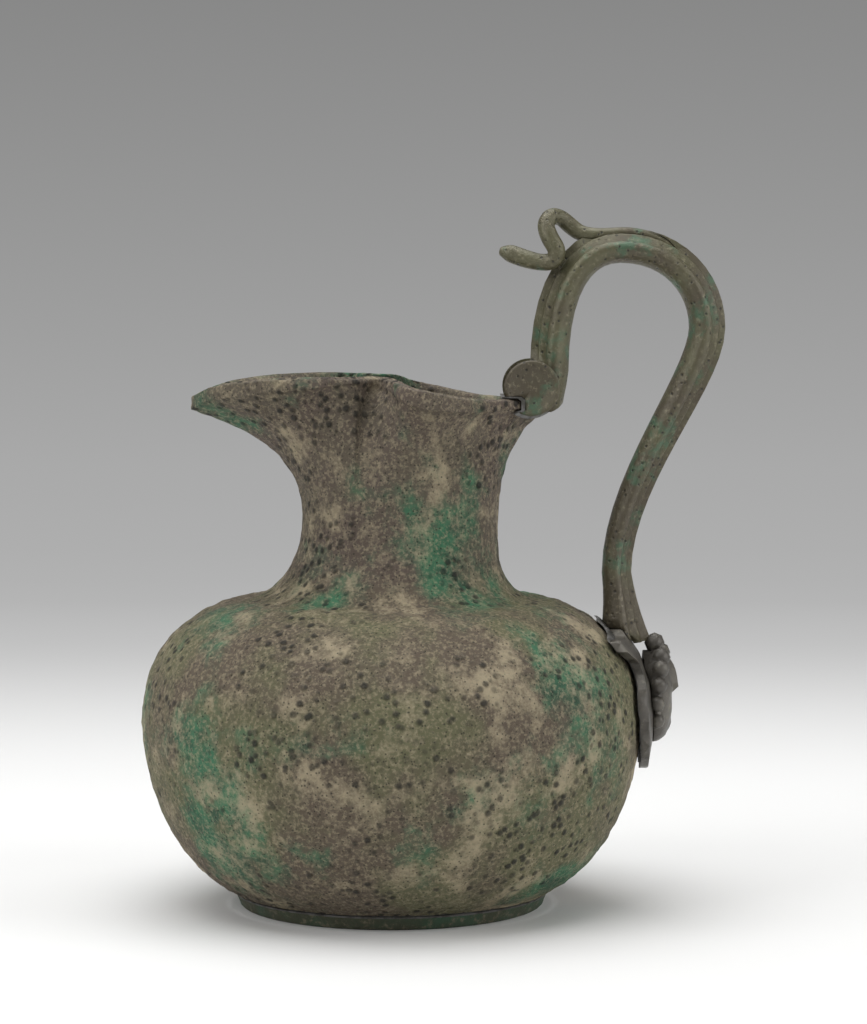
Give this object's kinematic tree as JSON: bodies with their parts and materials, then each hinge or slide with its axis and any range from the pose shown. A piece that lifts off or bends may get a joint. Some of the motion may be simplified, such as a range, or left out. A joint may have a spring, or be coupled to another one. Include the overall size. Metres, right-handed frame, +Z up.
{
  "type": "oinochoe",
  "caption": "Round-bellied bronze pouring jug with a pinched trefoil mouth, low turned foot and high ribbed handle ending in a small relief head.",
  "frame": {"origin": "centre of the foot, on the surface that the jug stands on", "axes": "+Z up along the belly's axis, -X towards the spout, +X towards the handle"},
  "size_m": [0.1643, 0.1416, 0.1955],
  "materials": {
    "crusted_bronze": "old bronze under a warty crust of green, olive and tan corrosion",
    "smooth_bronze": "smooth dark olive patina with green and brown patches",
    "dark_bronze": "dark grey-brown patina with a soft sheen",
    "soft_solder": "dull grey lead-tin solder"
  },
  "bodies": {
    "root": {"body_shell": "crusted_bronze", "turned_foot": "dark_bronze", "foot_seam": "soft_solder", "handle_bow": "smooth_bronze", "roundel_near": "smooth_bronze", "roundel_far": "smooth_bronze", "snake_thumb_rest": "smooth_bronze", "rim_solder": "soft_solder", "lower_plate": "dark_bronze", "plate_solder": "soft_solder", "mask_head": "dark_bronze"}
  },
  "joints": []
}
